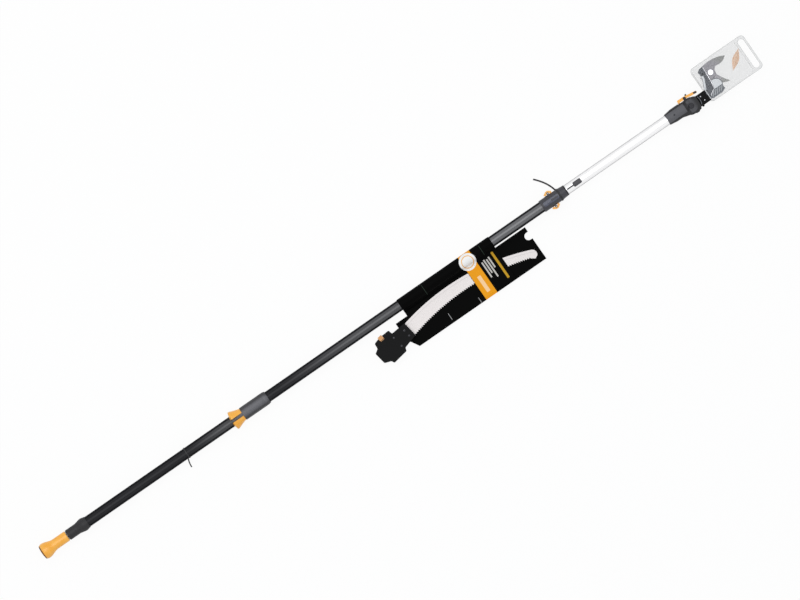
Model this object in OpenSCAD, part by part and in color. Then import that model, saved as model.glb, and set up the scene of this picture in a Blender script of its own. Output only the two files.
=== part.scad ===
// Telescoping pole pruner with a clip-on curved saw, laid flat as it is sold.
// The pole runs along +X, both blades lie flat and +Z is up from the surface it lies on.
// Modules draw around the pole's axis, with x = 0 at the free end of the pull knob.

/* [Tubes] */
// Outside diameter of the outer tube
outer_d = 32; // [31:0.1:33]
// Wall of the outer tube
outer_wall = 1; // [0.9:0.05:1.1]
// Length of the outer tube
outer_len = 1637; // [1580:1:1700]
// Depth of the grip flutes along the outer tube
flute_depth = 0.5; // [0.3:0.05:0.6]
// Outside diameter of the inner tube
inner_d = 29.2; // [29:0.05:29.6]
// Wall of the inner tube
inner_wall = 1.2; // [1:0.05:1.4]
// Length of the inner tube
inner_len = 1973; // [1900:1:2000]
// Length of inner tube that shows when the pole is collapsed
inner_show = 350; // [330:1:400]
// Width of the keyway along the underside of the inner tube
key_w = 8.4; // [7.6:0.1:9]
// Depth of that keyway
key_depth = 4; // [3.8:0.1:4.4]

/* [Pull knob and ferrule] */
// Length of the pull knob
knob_len = 88; // [80:1:96]
// Largest diameter of the pull knob
knob_d = 47.5; // [44:0.5:52]
// Diameter of the knob's waist
knob_waist_d = 31.4; // [29:0.2:32]
// Length of the end ferrule
ferrule_len = 68; // [64:1:80]
// Diameter of the ferrule's bulge
ferrule_d = 40; // [38:0.5:43]
// Diameter of the pull rod between knob and crosshead
rod_d = 10; // [8:0.2:12]

/* [Sliding handle] */
// Place of the handle's flared rim along the pole
handle_x = 660; // [620:1:700]
// Length of the orange flare
flare_len = 38; // [34:1:44]
// Diameter of the flare's rim, on which the pole lies
flare_d = 57; // [54:0.5:60]
// Length of the black sleeve
sleeve_len = 86; // [80:1:100]
// Outside diameter of the sleeve
sleeve_d = 40; // [39:0.5:42]
// Width of the slot in the outer tube under the handle
slot_w = 6.4; // [5.6:0.1:7.2]

/* [Telescope lock] */
// Length of the lock collar
lock_len = 80; // [76:1:90]
// Outside diameter of the lock collar
lock_d = 37; // [36:0.1:38.5]
// Length of each squeeze lever
lever_len = 25; // [22:0.5:27]
// Height of each squeeze lever
lever_h = 12; // [10:0.5:13]

/* [Head socket] */
// Length of the inner tube that the socket grips
socket_grip = 41; // [36:1:44]
// Largest diameter of the socket's barrel
socket_d = 40.4; // [39.4:0.2:42]
// Radius of the tilt joint's cheeks
cheek_r = 25; // [24:0.25:26]
// Height of the gap between the cheeks
fork_gap = 16.4; // [15.6:0.1:17]
// Thickness of each cheek
cheek_t = 7.3; // [6.5:0.1:8]
// Diameter of the tilt bolt
tilt_bolt_d = 10; // [8:0.2:11]
// Distance from the socket's mouth to the tilt bolt
tilt_reach = 78.5; // [76:0.5:82]

/* [Cutter] */
// Distance along the pole from the tilt bolt to the blade's pivot
pivot_reach = 100; // [98:0.5:103]
// Distance across the pole from the tilt bolt to the blade's pivot
pivot_rise = 47; // [46:0.25:48]
// Tooth module of the pinion and the blade's sector
gear_module = 1.6; // [1.55:0.01:1.65]
// Teeth of the pinion
pinion_teeth = 8; // [8:1:8]
// Teeth that a whole gear of the sector's size would have
sector_teeth = 41; // [40:1:42]
// Radius of the strap drum
drum_r = 16; // [14:0.25:16.5]
// Thickness of the moving blade
blade_t = 3.2; // [2.6:0.1:3.4]
// Thickness of the hooked jaw
jaw_t = 3.6; // [3:0.1:4]
// Diameter of the blade's pivot bolt
pivot_d = 8; // [6:0.2:9]

/* [Saw] */
// Place of the saw blade's root along the pole
saw_x = 1226; // [1215:1:1240]
// Distance of the saw blade's root from the pole's axis
saw_off = 74; // [73:0.5:77]
// Length of the saw blade from its root to its tip, along the chord of its back
saw_len = 412; // [390:1:430]
// How far the back of the saw blade bows
saw_bow = 32; // [28:0.5:36]
// Thickness of the saw blade
saw_t = 1.3; // [1:0.1:1.6]
// Distance between saw teeth
tooth_pitch = 6.6; // [5.6:0.1:8]
// Depth of the saw teeth
tooth_depth = 4.2; // [3:0.1:5]
// Radius of the socket bore in the saw's head
saw_bore_r = 10; // [8:0.25:10.5]
// Depth of that socket bore
saw_bore_len = 61.5; // [50:0.5:66]

/* [Packaging] */
// Thickness of the card
card_t = 0.5; // [0.4:0.05:0.6]
// Length of the card's back panel
card_len = 461; // [445:1:480]
// Length of the card that wraps round the pole
wrap_len = 318; // [300:1:330]
// Distance of the card's far edge from the pole's axis
card_drop = 128.5; // [127:0.5:134]
// Radius of the round sticker
sticker_r = 25.5; // [22:0.5:28]
// Length of the clear clamshell
shell_len = 185; // [180:1:200]
// Width of the clear clamshell
shell_w = 113; // [111:1:118]
// Height of the clamshell above the pole's axis
shell_rise = 20; // [19:0.5:26]
// Wall of the clamshell
shell_wall = 0.8; // [0.6:0.05:1]

/* [Hidden] */
$fn = 64;
fit = 0.05;
play = 0.3;

// Radii of the tubes and the height of the pole's axis
pole_r = outer_d / 2;
bore_r = pole_r - outer_wall;
inner_r = inner_d / 2;
axis_h = flare_d / 2;
flutes = 10;
flute_r = 1.1;
key_floor = -(inner_r - key_depth);

// Stations along the pole
knob_gap = 2;
ferrule_x = knob_len + knob_gap;
ferrule_end = ferrule_x + ferrule_len;
end_wall = 8;
tube_seat = 30;
tube_x = ferrule_end - tube_seat;
tube_end = tube_x + outer_len;
lock_seat = 28;
lock_x = tube_end - lock_seat;
ring_len = 4.5;
lock_end = lock_x + lock_len + ring_len;

// Stroke of the strap that swings the blade shut, and the crosshead that pulls it
blade_swing = 66;
stroke = drum_r * blade_swing * PI / 180 * sector_teeth / pinion_teeth;
crosshead_x = ferrule_x + end_wall + stroke + 4;
crosshead_len = 36;

// The inner tube keeps clear of the crosshead and shows at least its stated length
tail_gap = 3;
plug_lip = 4;
inner_end = max(lock_end + inner_show + socket_grip,
    crosshead_x + crosshead_len + tail_gap + plug_lip + inner_len);
inner_x = inner_end - inner_len;
socket_x = inner_end - socket_grip;
tilt_x = socket_x + tilt_reach;
tilt_y = -5.7;
pivot_x = tilt_x + pivot_reach;
pivot_y = tilt_y + pivot_rise;
mesh_angle = 259.4;
gear_centres = gear_module * (pinion_teeth + sector_teeth) / 2;
drum_x = pivot_x + gear_centres * cos(mesh_angle);
drum_y = pivot_y + gear_centres * sin(mesh_angle);

// Clamshell box
shell_x = tilt_x + 52.5;
shell_y = tilt_y - 26;
shell_end = shell_x + shell_len;
shell_top = shell_y + shell_w;

// Origin at the middle of the whole part's box, on the surface
mid_x = shell_end / 2;
mid_y = (shell_top - card_drop) / 2;

module placed() translate([-mid_x, -mid_y, axis_h]) children();

// Plain shapes that repeat
module rod_x(r, x0, x1) translate([x0, 0, 0]) rotate([0, 90, 0]) cylinder(r = r, h = x1 - x0);
module rod_z(r, z0, z1, x = 0, y = 0) translate([x, y, z0]) cylinder(r = r, h = z1 - z0);
module pipe_x(r, bore, x0, x1) difference() {
    rod_x(r, x0, x1);
    rod_x(bore, x0 - 1, x1 + 1);
}
module lathe_x(profile) rotate([0, 90, 0]) rotate_extrude() polygon([for (p = profile) [p[1], p[0]]]);
module box(x0, x1, y0, y1, z0, z1) translate([x0, y0, z0]) cube([x1 - x0, y1 - y0, z1 - z0]);
module along_x(x0, x1) translate([x0, 0, 0]) rotate([90, 0, 90]) linear_extrude(x1 - x0) children();
module slab(z0, z1) translate([0, 0, z0]) linear_extrude(z1 - z0) children();

// A straight bar with a round end of its own radius at each end
module tapered_bar(p, q, rp, rq) {
    d = norm(q - p);
    a = atan2(q[1] - p[1], q[0] - p[0]);
    lean = asin((rp - rq) / d);
    translate(p) circle(rp);
    translate(q) circle(rq);
    translate(p) rotate(a) polygon([
        rp * [sin(lean), cos(lean)], rp * [sin(lean), -cos(lean)],
        [d, 0] + rq * [sin(lean), -cos(lean)], [d, 0] + rq * [sin(lean), cos(lean)]]);
}

// A rectangle with round corners
module round_rect(x0, x1, y0, y1, r) {
    translate([x0 + r, y0]) square([x1 - x0 - 2 * r, y1 - y0]);
    translate([x0, y0 + r]) square([x1 - x0, y1 - y0 - 2 * r]);
    for (x = [x0 + r, x1 - r], y = [y0 + r, y1 - r]) translate([x, y]) circle(r);
}

// A strip of even thickness that follows a line of points
function heading(p, i) = let (a = p[max(i - 1, 0)], b = p[min(i + 1, len(p) - 1)]) (b - a) / norm(b - a);
function side(p, i, d) = let (h = heading(p, i)) p[i] + d * [-h[1], h[0]];
module strip(p, t) polygon(concat([for (i = [0:len(p) - 1]) side(p, i, t / 2)],
    [for (i = [len(p) - 1:-1:0]) side(p, i, -t / 2)]));
// A polygon's points with each corner turned into a short curve
function toward(a, b, d) = a + d * (b - a) / norm(b - a);
function rounded(p, r, n = 3) = let (m = len(p)) [for (i = [0:m - 1], k = [0:n])
    let (a = toward(p[i], p[(i + m - 1) % m], r), b = toward(p[i], p[(i + 1) % m], r), t = k / n)
    (1 - t) * (1 - t) * a + 2 * t * (1 - t) * p[i] + t * t * b];
function arc(c, r, a0, a1, n) = [for (i = [0:n]) let (a = a0 + (a1 - a0) * i / n) c + r * [cos(a), sin(a)]];

// ---- Outer tube and its ferrule ----

// Fluted tube with a slot along its underside for the handle's shuttle
slot_x0 = handle_x + flare_len - stroke - 1;
slot_x1 = handle_x + flare_len + sleeve_len - 12;
module outer_tube() color("#232325") placed() difference() {
    along_x(tube_x, tube_end) difference() {
        circle(pole_r);
        for (i = [0:flutes - 1]) rotate(i * 360 / flutes)
            translate([pole_r + flute_r - flute_depth, 0]) circle(flute_r, $fn = 24);
    }
    rod_x(bore_r, tube_x - 1, tube_end + 1);
    box(slot_x0, slot_x1, -slot_w / 2, slot_w / 2, -pole_r - 1, -bore_r + 2);
}

// Turned end piece with a bulge that takes the tube's end
bush_r = rod_d / 2 + 2.4;
module end_ferrule() color("#2b2b2d") placed() difference() {
    lathe_x([[ferrule_x, 0], [ferrule_x, pole_r - 1.5], [ferrule_x + 1.4, pole_r - 0.1],
        [ferrule_x + 34, pole_r - 0.1], [ferrule_end - 18, ferrule_d / 2 - 0.6],
        [ferrule_end - 14, ferrule_d / 2], [ferrule_end - 10, ferrule_d / 2 - 0.6],
        [ferrule_end, pole_r + 1], [ferrule_end, 0]]);
    rod_x(bush_r, ferrule_x - 1, ferrule_x + end_wall + 1);
    rod_x(bore_r, ferrule_x + end_wall, tube_x + 1);
    rod_x(pole_r + fit, tube_x, ferrule_end + 1);
    for (s = [-1, 1]) translate([ferrule_end - 14, 0, 0]) rotate([90 * s, 0, 0])
        cylinder(r = 1.5, h = 30, $fn = 24);
}
module ferrule_bush() color("#d8d4c8") placed()
    pipe_x(bush_r, rod_d / 2 + fit, ferrule_x, ferrule_x + end_wall);
module ferrule_screws() color("#8a8a8c") placed()
    for (s = [-1, 1]) translate([ferrule_end - 14, 0, 0]) rotate([90 * s, 0, 0])
        translate([0, 0, pole_r + fit]) cylinder(r = 1.45, h = ferrule_d / 2 - pole_r - 0.2, $fn = 24);

// ---- Pull knob, rod, bar and sliding handle ----

rod_x0 = 52;
crosshead_r = bore_r - 1.8;
bar_w = key_w - 1.2;
bar_z0 = -(bore_r - 0.9);
bar_z1 = key_floor - 0.5;
shuttle_x0 = handle_x + flare_len + 12;
shuttle_x1 = slot_x1 - 1;
shuttle_z = -(pole_r + 2.4);
shuttle_screw_x = [shuttle_x0 + 12, shuttle_x1 - 12];
function knob_r(x) = knob_waist_d / 2
    + (knob_d - knob_waist_d) / 4 * (1 + cos(180 * (x - 13) / (knob_len * 0.54 - 13)));

module pull_knob() color("#f6a92c") placed() difference() {
    lathe_x(concat([[0, 0]],
        [for (a = [0:15:75]) [6 * (1 - cos(a)), (knob_d / 2 - 3) * sin(a) / sin(75) * 0.96]],
        [[7, knob_d / 2 - 0.9], [10, knob_d / 2 - 0.1]],
        [for (i = [0:12]) let (x = 13 + (knob_len * 0.54 - 13) * i / 12) [x, knob_r(x)]],
        [[knob_len - 1.2, knob_waist_d / 2], [knob_len, knob_waist_d / 2 - 1.2], [knob_len, 0]]));
    rod_x(rod_d / 2, rod_x0, knob_len + 1);
    rod_z(2, -30, 8.1, knob_len - 14);
}
module knob_pin() color("#9a9a9c") placed() rod_z(1.95, -knob_waist_d / 2 + 0.6, 8, knob_len - 14);
module pull_rod() color("#b4b5b8") placed() difference() {
    rod_x(rod_d / 2 - 0.02, rod_x0, crosshead_x + 14);
    rod_z(2, -30, 30, knob_len - 14);
}
module crosshead() color("#3c3c40") placed() difference() {
    rod_x(crosshead_r, crosshead_x, crosshead_x + crosshead_len);
    rod_x(rod_d / 2, crosshead_x - 1, crosshead_x + 14);
    box(crosshead_x + 18, crosshead_x + crosshead_len + 1, -2.8, 2.8, -6.5, 6.5);
    rod_z(2, -8, 20, crosshead_x + 26);
    box(crosshead_x - 1, crosshead_x + crosshead_len + 1, -bar_w / 2, bar_w / 2, -20, bar_z1);
}
module strap_pin() color("#9a9a9c") placed() rod_z(1.95, -8, crosshead_r - 1.5, crosshead_x + 26);
module pull_bar() color("#b4b5b8") placed() difference() {
    box(crosshead_x, shuttle_x1, -bar_w / 2, bar_w / 2, bar_z0, bar_z1);
    for (x = shuttle_screw_x) rod_z(1.5, -30, bar_z1 + 1, x, 0);
}
module shuttle() color("#4a4a4e") placed() difference() {
    box(shuttle_x0, shuttle_x1, -slot_w / 2 + 0.4, slot_w / 2 - 0.4, shuttle_z, bar_z0);
    for (x = shuttle_screw_x) rod_z(1.5, -30, bar_z0 + 1, x, 0);
}
module shuttle_screws() color("#9a9a9c") placed() for (x = shuttle_screw_x) {
    rod_z(1.45, shuttle_z, bar_z1, x, 0);
    rod_z(2.6, -sleeve_d / 2 + 0.1, shuttle_z, x, 0);
}

// Black sleeve with a barrel under the flare and a tongue in each of the flare's slots
barrel_r = pole_r + 1.3;
tongue_w = 9.4;
sleeve_x = handle_x + flare_len;
sleeve_end = sleeve_x + sleeve_len;
module handle_sleeve() color("#333336") placed() difference() {
    union() {
        lathe_x([[sleeve_x, 0], [sleeve_x, sleeve_d / 2 - 0.8], [sleeve_x + 0.8, sleeve_d / 2],
            [sleeve_end - 7, sleeve_d / 2], [sleeve_end, pole_r + 2], [sleeve_end, 0]]);
        rod_x(barrel_r, handle_x + 3, sleeve_x + 1);
        intersection() {
            rod_x(barrel_r + 1, handle_x + 3, sleeve_x + 1);
            box(handle_x, sleeve_x + 1, -tongue_w / 2, tongue_w / 2, 0, 30);
        }
    }
    rod_x(pole_r + 0.2, handle_x - 1, sleeve_end + 1);
    box(shuttle_x0, shuttle_x1, -slot_w / 2 + 0.4, slot_w / 2 - 0.4, shuttle_z, 0);
    for (x = shuttle_screw_x) rod_z(2.65, -30, shuttle_z + 0.1, x, 0);
}
function flare_r(u) = barrel_r + 1.2 + (flare_d / 2 - barrel_r - 1.2) * pow(1 - u, 1.2);
module handle_flare() color("#f6a92c") placed() difference() {
    lathe_x(concat([[handle_x, 0], [handle_x, pole_r + 2], [handle_x + 3.4, flare_d / 2 - 0.8],
        [handle_x + 4.6, flare_d / 2], [handle_x + 7, flare_d / 2 - 0.2]],
        [for (i = [1:14]) [handle_x + 7 + (flare_len - 7) * i / 14, flare_r(i / 14)]],
        [[sleeve_x, 0]]));
    rod_x(barrel_r + 0.02, handle_x + 3, sleeve_x + 1);
    rod_x(pole_r + 0.4, handle_x - 1, handle_x + 4);
    box(handle_x - 1, sleeve_x + 1, -tongue_w / 2 - 0.3, tongue_w / 2 + 0.3, 0, 30);
}

// ---- Telescope lock ----

lock_r = lock_d / 2;
lock_body_end = lock_x + lock_len;
lever_x = lock_x + 34;
lever_gap = 1.8;
lever_t = 5;
lever_y = lock_r + lever_gap + lever_t / 2;
ear_z = lever_h / 2 + 0.4;
ear_t = 2.4;
nose_x = lever_x + lever_len / 2 - 6;
module lock_collar() color("#3a3a40") placed() difference() {
    union() {
        lathe_x([[lock_x, 0], [lock_x, lock_r - 1], [lock_x + 1, lock_r], [lock_x + 58, lock_r],
            [lock_body_end, pole_r + 0.4], [lock_body_end, 0]]);
        for (s = [-1, 1], z = [-ear_z - ear_t, ear_z]) intersection() {
            box(lever_x - 5, lever_x + 5, -30, 30, z, z + ear_t);
            translate([0, s > 0 ? 5 : -5 - lever_y - 3, -20]) cube([5000, lever_y + 3, 40]);
            slab(-20, 20) {
                translate([lever_x, s * lever_y]) circle(3);
                translate([lever_x - 3, s > 0 ? 5 : -lever_y]) square([6, lever_y - 5]);
            }
        }
    }
    rod_x(pole_r + fit, lock_x - 1, lock_body_end + 1);
    for (s = [-1, 1]) rod_z(1.25, -20, 20, lever_x, s * lever_y);
    box(nose_x - 0.4, nose_x + 6.4, -30, 30, -4.4, 4.4);
}
module lock_end_ring() color("#141416") placed() difference() {
    lathe_x([[lock_body_end, 0], [lock_body_end, pole_r + 0.4], [lock_end - 1, pole_r + 0.4],
        [lock_end, pole_r - 0.6], [lock_end, 0]]);
    rod_x(inner_r + play, lock_body_end - 1, lock_end + 1);
}
module lock_panel() color("#8f94a6") placed() difference() {
    intersection() {
        rod_x(lock_r + 1.2, lock_x + 6, lock_x + 57);
        slab(0, 30) round_rect(lock_x + 6, lock_x + 57, -7, 7, 4);
    }
    rod_x(lock_r + 0.02, lock_x, lock_body_end);
    slab(0, 30) round_rect(lock_x + 31, lock_x + 54, -2.6, 2.6, 2.5);
}
module lock_bush() color("#d8d4c8") placed() difference() {
    pipe_x(pole_r, inner_r + fit + 0.02, tube_end + 0.5, lock_body_end);
    box(nose_x - 0.8, nose_x + 6.8, -30, 30, -4.8, 4.8);
}
module lock_pins() color("#9a9a9c") placed()
    for (s = [-1, 1]) rod_z(1.2, -ear_z - ear_t, ear_z + ear_t, lever_x, s * lever_y);
module lock_lever() {
    half = lever_len / 2;
    difference() {
        union() {
            slab(-lever_h / 2, lever_h / 2) translate([lever_x, lever_y]) polygon(rounded([
                [-half, -lever_t / 2], [half, -lever_t / 2], [half, 0.4], [4, 6.4], [-3, 6.4], [-half, 1]], 1.3));
            box(nose_x, nose_x + 5, inner_r + play, lever_y, -4, 4);
        }
        rod_z(1.25, -20, 20, lever_x, lever_y);
    }
}
module lock_lever_left() color("#f6a92c") placed() lock_lever();
module lock_lever_right() color("#f6a92c") placed() mirror([0, 1, 0]) lock_lever();
module lock_springs() color("#9a9a9c") placed() for (s = [-1, 1]) rotate([s > 0 ? -90 : 90, 0, 0])
    translate([lever_x - lever_len / 2 + 4.5, 0, lock_r]) difference() {
        cylinder(r = 2, h = lever_gap, $fn = 24);
        translate([0, 0, -1]) cylinder(r = 1.4, h = 5, $fn = 24);
    }

// ---- Inner tube ----

module inner_tube() color("#e3e4e6") placed() along_x(inner_x, inner_end) difference() {
    circle(inner_r);
    difference() {
        circle(inner_r - inner_wall);
        translate([-key_w / 2 - inner_wall, -inner_r])
            square([key_w + 2 * inner_wall, key_depth + inner_wall]);
    }
    translate([-key_w / 2, -inner_r - 1]) square([key_w, key_depth + 1]);
}
plug_len = 24;
module tail_plug() color("#d8d4c8") placed() difference() {
    union() {
        rod_x(bore_r - fit, inner_x - plug_lip, inner_x);
        rod_x(inner_r - inner_wall - 0.02, inner_x - 1, inner_x + plug_len);
    }
    box(inner_x - 5, inner_x + plug_len + 1, -key_w / 2 - inner_wall - 0.1, key_w / 2 + inner_wall + 0.1,
        -30, key_floor + inner_wall + 0.1);
    box(inner_x - 5, inner_x + plug_len + 1, -4, 4, -7, 7);
}
tab_x = lock_end + 1.5;
module stop_tab() color("#6d6d70") placed() difference() {
    intersection() {
        rod_x(inner_r + 1, tab_x, tab_x + 50);
        slab(0, 30) {
            round_rect(tab_x + 22, tab_x + 49, -7.4, 7.4, 4);
            translate([tab_x, -2.4]) square([24, 4.8]);
        }
    }
    rod_x(inner_r + 0.02, tab_x - 1, tab_x + 51);
}

// ---- Head socket with the tilt joint ----

socket_r = socket_d / 2;
rivet_x = socket_x + 24;
fork_x = inner_end + 8.5;
fork_z = fork_gap / 2;
cheek_z = fork_z + cheek_t;
lever_px = tilt_x - 4;
lever_py = socket_r + 3.2;
lever_pin_r = 1.8;
lever_z0 = 9.6;
lever_z1 = 15.2;
module head_socket() color("#59595c") placed() difference() {
    union() {
        lathe_x([[socket_x, 0], [socket_x, inner_r + 1.6], [socket_x + 1.5, inner_r + 2.6],
            [socket_x + 10, inner_r + 3.6],
            [socket_x + 22, socket_r], [tilt_x - 9, socket_r], [tilt_x - 9, 0]]);
        rod_z(cheek_r, -cheek_z, cheek_z, tilt_x, tilt_y);
        slab(-cheek_z, cheek_z) translate([tilt_x, tilt_y]) polygon([[-46, -12], [-27, -17], [-8, -22],
            [3, -25], [4, -27], [12, -27], [14, -24.5], [20, -23.5], [24, -17], [25, 16], [17, 20.5], [-4, 23],
            [-46, 23]]);
        slab(cheek_z - 0.6, lever_z1 + 2.4) translate([lever_px - 4.2, 4]) square([8.4, 13]);
        for (z = [[fork_z, lever_z0 - 0.2], [lever_z1 + 0.2, lever_z1 + 2.4]]) slab(z[0], z[1]) {
            translate([lever_px - 4.2, 8]) square([8.4, lever_py - 8]);
            translate([lever_px, lever_py]) circle(4.2);
        }
    }
    rod_x(inner_r + 0.02, socket_x - 1, inner_end);
    rod_x(9, inner_end - 1, fork_x + 1);
    box(fork_x, tilt_x + 60, -60, 60, -fork_z, fork_z);
    rod_z(tilt_bolt_d / 2, -40, 40, tilt_x, tilt_y);
    rod_z(lever_pin_r, -40, 40, lever_px, lever_py);
    for (z = [-1, 1]) translate([rivet_x, 0, 0]) rotate([90 - 90 * z, 0, 0])
        cylinder(r = 2.5, h = 40, $fn = 24);
}
module socket_rivets() color("#9a9a9c") placed()
    for (foot = [[1, inner_r], [-1, -key_floor]]) translate([rivet_x, 0, 0]) rotate([90 - 90 * foot[0], 0, 0])
        translate([0, 0, foot[1]]) cylinder(r = 2.45, h = socket_r + 0.4 - foot[1], $fn = 24);
module tilt_bolt() color("#6e6e72") placed() {
    rod_z(tilt_bolt_d / 2 - fit, -cheek_z - 5, cheek_z, tilt_x, tilt_y);
    rod_z(8, cheek_z, cheek_z + 1.8, tilt_x, tilt_y);
}
module tilt_nut() color("#9a9a9c") placed() difference() {
    translate([tilt_x, tilt_y, -cheek_z - 5]) cylinder(r = 8.5, h = 5, $fn = 6);
    rod_z(tilt_bolt_d / 2, -40, 0, tilt_x, tilt_y);
}
roller_r = 8.6;
module guide_roller() color("#d8d4c8") placed() difference() {
    rod_z(roller_r, -5.5, 5.5, tilt_x, tilt_y);
    rod_z(tilt_bolt_d / 2 + fit, -10, 10, tilt_x, tilt_y);
}
module lever_pin() color("#9a9a9c") placed()
    rod_z(lever_pin_r - fit, fork_z, lever_z1 + 2.4, lever_px, lever_py);

// Thumb lever whose finger locks the neck's notched rim
finger_x = fork_x + 2.2;
module tilt_lever() color("#f6a92c") placed() difference() {
    union() {
        slab(lever_z0, lever_z1) polygon(rounded([[finger_x + 0.6, socket_r - 0.1], [lever_px, lever_py - 3.4],
            [tilt_x + 5, socket_r - 0.1], [tilt_x + 14, socket_r - 2.2], [tilt_x + 33, socket_r - 3.8],
            [tilt_x + 36, socket_r - 2.4], [tilt_x + 35.6, socket_r + 1.4], [tilt_x + 31, socket_r + 3.4],
            [lever_px, socket_r + 8.2], [finger_x + 0.6, socket_r + 8.6]], 1));
        slab(-7.4, 7.4) polygon([[finger_x, -2], [finger_x + 4.2, -2], [finger_x + 5.2, 16],
            [finger_x + 5.4, socket_r + 3], [finger_x + 0.6, socket_r + 3]]);
        slab(0, lever_z1 - 1) translate([finger_x + 1.2, socket_r - 0.6]) square([3.6, 3.2]);
    }
    rod_z(lever_pin_r, -40, 40, lever_px, lever_py);
    stud(1.85, 1);
}
module stud(r, y) translate([tilt_x + 4, lever_py + y, (lever_z0 + lever_z1) / 2]) rotate([-90, 0, 0])
    cylinder(r = r, h = 8.2 - y, $fn = 32);
module lever_stud() color("#1c1c1e") placed() {
    stud(1.8, 1);
    stud(2.8, 4.4);
}

// ---- Cutter head ----

neck_z = fork_z - 0.4;
eye_r = 21;
tang_x = tilt_x + max(cheek_r + 9, lever_py - tilt_y + 4.9);
tang_end = tilt_x + 66;
tang_y0 = -24.5;
tang_y1 = 10;
tang_z0 = -7.4;
tang_z1 = 9.1;
strap_t = 0.8;
strap_w = 10;
strap_y = tilt_y - roller_r - strap_t / 2 - 0.1;
module neck_outline() {
    translate([tilt_x, tilt_y]) circle(eye_r);
    polygon([[tilt_x, tilt_y - 17], [tang_x - 6.8, tang_y0 + 0.4], [tang_x - 5.5, tang_y0 - 3.5],
        [tang_x - 1.5, tang_y0 - 3.5], [tang_x, tang_y0], [tang_x + 1, tang_y0], [tang_x + 1, tang_y1],
        [tang_x, tang_y1], [tilt_x + 12, tilt_y + 16], [tilt_x, tilt_y + 16]]);
}
module neck() color("#1d1d1f") placed() difference() {
    union() {
        slab(-neck_z, neck_z) neck_outline();
        slab(tang_z0, tang_z1) polygon([[tang_x, tang_y0], [tang_end - 9, tang_y0],
            [tang_end - 6, tang_y0 + 2.4], [tang_end, tang_y0 + 2.4], [tang_end, tang_y1], [tang_x, tang_y1]]);
    }
    slab(-5.8, 5.8) {
        translate([tilt_x, tilt_y]) circle(eye_r + 0.5);
        translate([tilt_x, strap_y - 3]) square([100, 6]);
    }
    rod_z(tilt_bolt_d / 2 + fit, -40, 40, tilt_x, tilt_y);
    for (a = [100:15:265])
        rod_z(1.3, -40, 40, tilt_x + (eye_r + 0.4) * cos(a), tilt_y + (eye_r + 0.4) * sin(a));
    for (y = [-17.5, 4.5]) rod_z(2.05, -40, 40, tang_end - 8, y);
}

// Levels of the head's layers, from the back plate up
back_z0 = -9.6;
back_z1 = -7.5;
blade_z0 = 5.8;
blade_z1 = blade_z0 + blade_t;
jaw_z0 = blade_z1 + 0.2;
jaw_z1 = jaw_z0 + jaw_t;
cover_z0 = jaw_z1 + 0.1;
cover_z1 = cover_z0 + 2;
function at_pivot(p) = [for (q = p) [pivot_x + q[0], pivot_y + q[1]]];
screw_spots = [[tang_end - 8, -17.5], [tang_end - 8, 4.5]];
jaw_screw = [pivot_x - 21, pivot_y + 8];

module back_plate() color("#4d4d52") placed() difference() {
    slab(back_z0, back_z1) {
        tapered_bar([tang_end - 12, -6.5], [drum_x, drum_y], 14, 19);
        tapered_bar([drum_x, drum_y], [pivot_x, pivot_y], 19, 14);
        tapered_bar([pivot_x, pivot_y], jaw_screw, 14, 7);
        tapered_bar([drum_x, drum_y], [pivot_x - 4, pivot_y - 59], 19, 7);
    }
    rod_z(pivot_d / 2, -40, 40, pivot_x, pivot_y);
    rod_z(3, -40, 40, drum_x, drum_y);
    for (p = screw_spots) rod_z(2.05, -40, 40, p[0], p[1]);
    rod_z(2.05, -40, 40, jaw_screw[0], jaw_screw[1]);
}

// Fixed jaw: a hook whose mouth opens away from the pole
module jaw_outline() polygon(concat(
    at_pivot([[-26, 17]]),
    at_pivot(bow_arc([-13, 27], [60.5, 17.2], 7, 10)),
    at_pivot(arc([35, 42], 36, -43, -108, 8)),
    at_pivot(arc([27, -8], 15.5, 110, 190, 6)),
    at_pivot([[8, -16], [-8, -17.5], [-16, -14], [-26, -8]])));
module hook_jaw() color("#8b8a90") placed() difference() {
    slab(jaw_z0, jaw_z1) jaw_outline();
    rod_z(pivot_d / 2, -40, 40, pivot_x, pivot_y);
    rod_z(2.05, -40, 40, jaw_screw[0], jaw_screw[1]);
}

// Dark cover over the gear sector
module cover_plate() color("#3d3f45") placed() difference() {
    slab(cover_z0, cover_z1) polygon(at_pivot(rounded([[-31, 20], [-22, 26], [-11, 27], [-14.5, -24],
        [-18.5, -43], [-37, -55.5], [-45.5, -48], [-44, -30], [-28, 2]], 3)));
    for (p = [screw_spots[1], jaw_screw]) rod_z(2.05, -40, 40, p[0], p[1]);
}

// Moulded housing over the strap drum, open on the side where the blade swings, with slanted ribs
cap_low = drum_y - 7;
rib_count = 5;
rib_pitch = 7;
module drum_cover_outline() polygon(at_pivot(concat(
    arc([drum_x - pivot_x, drum_y - pivot_y], 19.4, -30, 205, 24),
    rounded([[-39, -55.5], [-41, -60], [-34, -65.5], [-2, -65.5], [9.5, -60], [9.5, -56]], 1.4))));
module drum_cover() color("#7d8086") placed() difference() {
    union() {
        slab(jaw_z0, cover_z0 - 0.4) drum_cover_outline();
        slab(back_z1, jaw_z0 + 0.1) difference() {
            drum_cover_outline();
            translate([pivot_x - 70, strap_y - 3]) square([140, 90]);
        }
        for (i = [0:rib_count - 1]) let (x = drum_x - 14 + rib_pitch * i)
            slab(jaw_z0 + 1, cover_z0 + 1.2) strip([[x, cap_low - 2], [x - 12, cap_low - 15]], 2.4);
    }
    rod_z(3, -40, 40, drum_x, drum_y);
    box(tang_x, tang_end + play, -30, 20, -10, tang_z1 + 0.4);
    box(tang_x, tang_end - 3.6, -30, 0, 0, tang_z1 + 1.8);
    translate([pivot_x, pivot_y, 0]) slab(jaw_z0 - 1, 40) circle(19.6);
    slab(jaw_z0 - 1, 40) polygon(at_pivot([[-40, 5], [-16.6, 5], [-16.6, -34.5], [-37, -52.5], [-60, -40]]));
}
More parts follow.
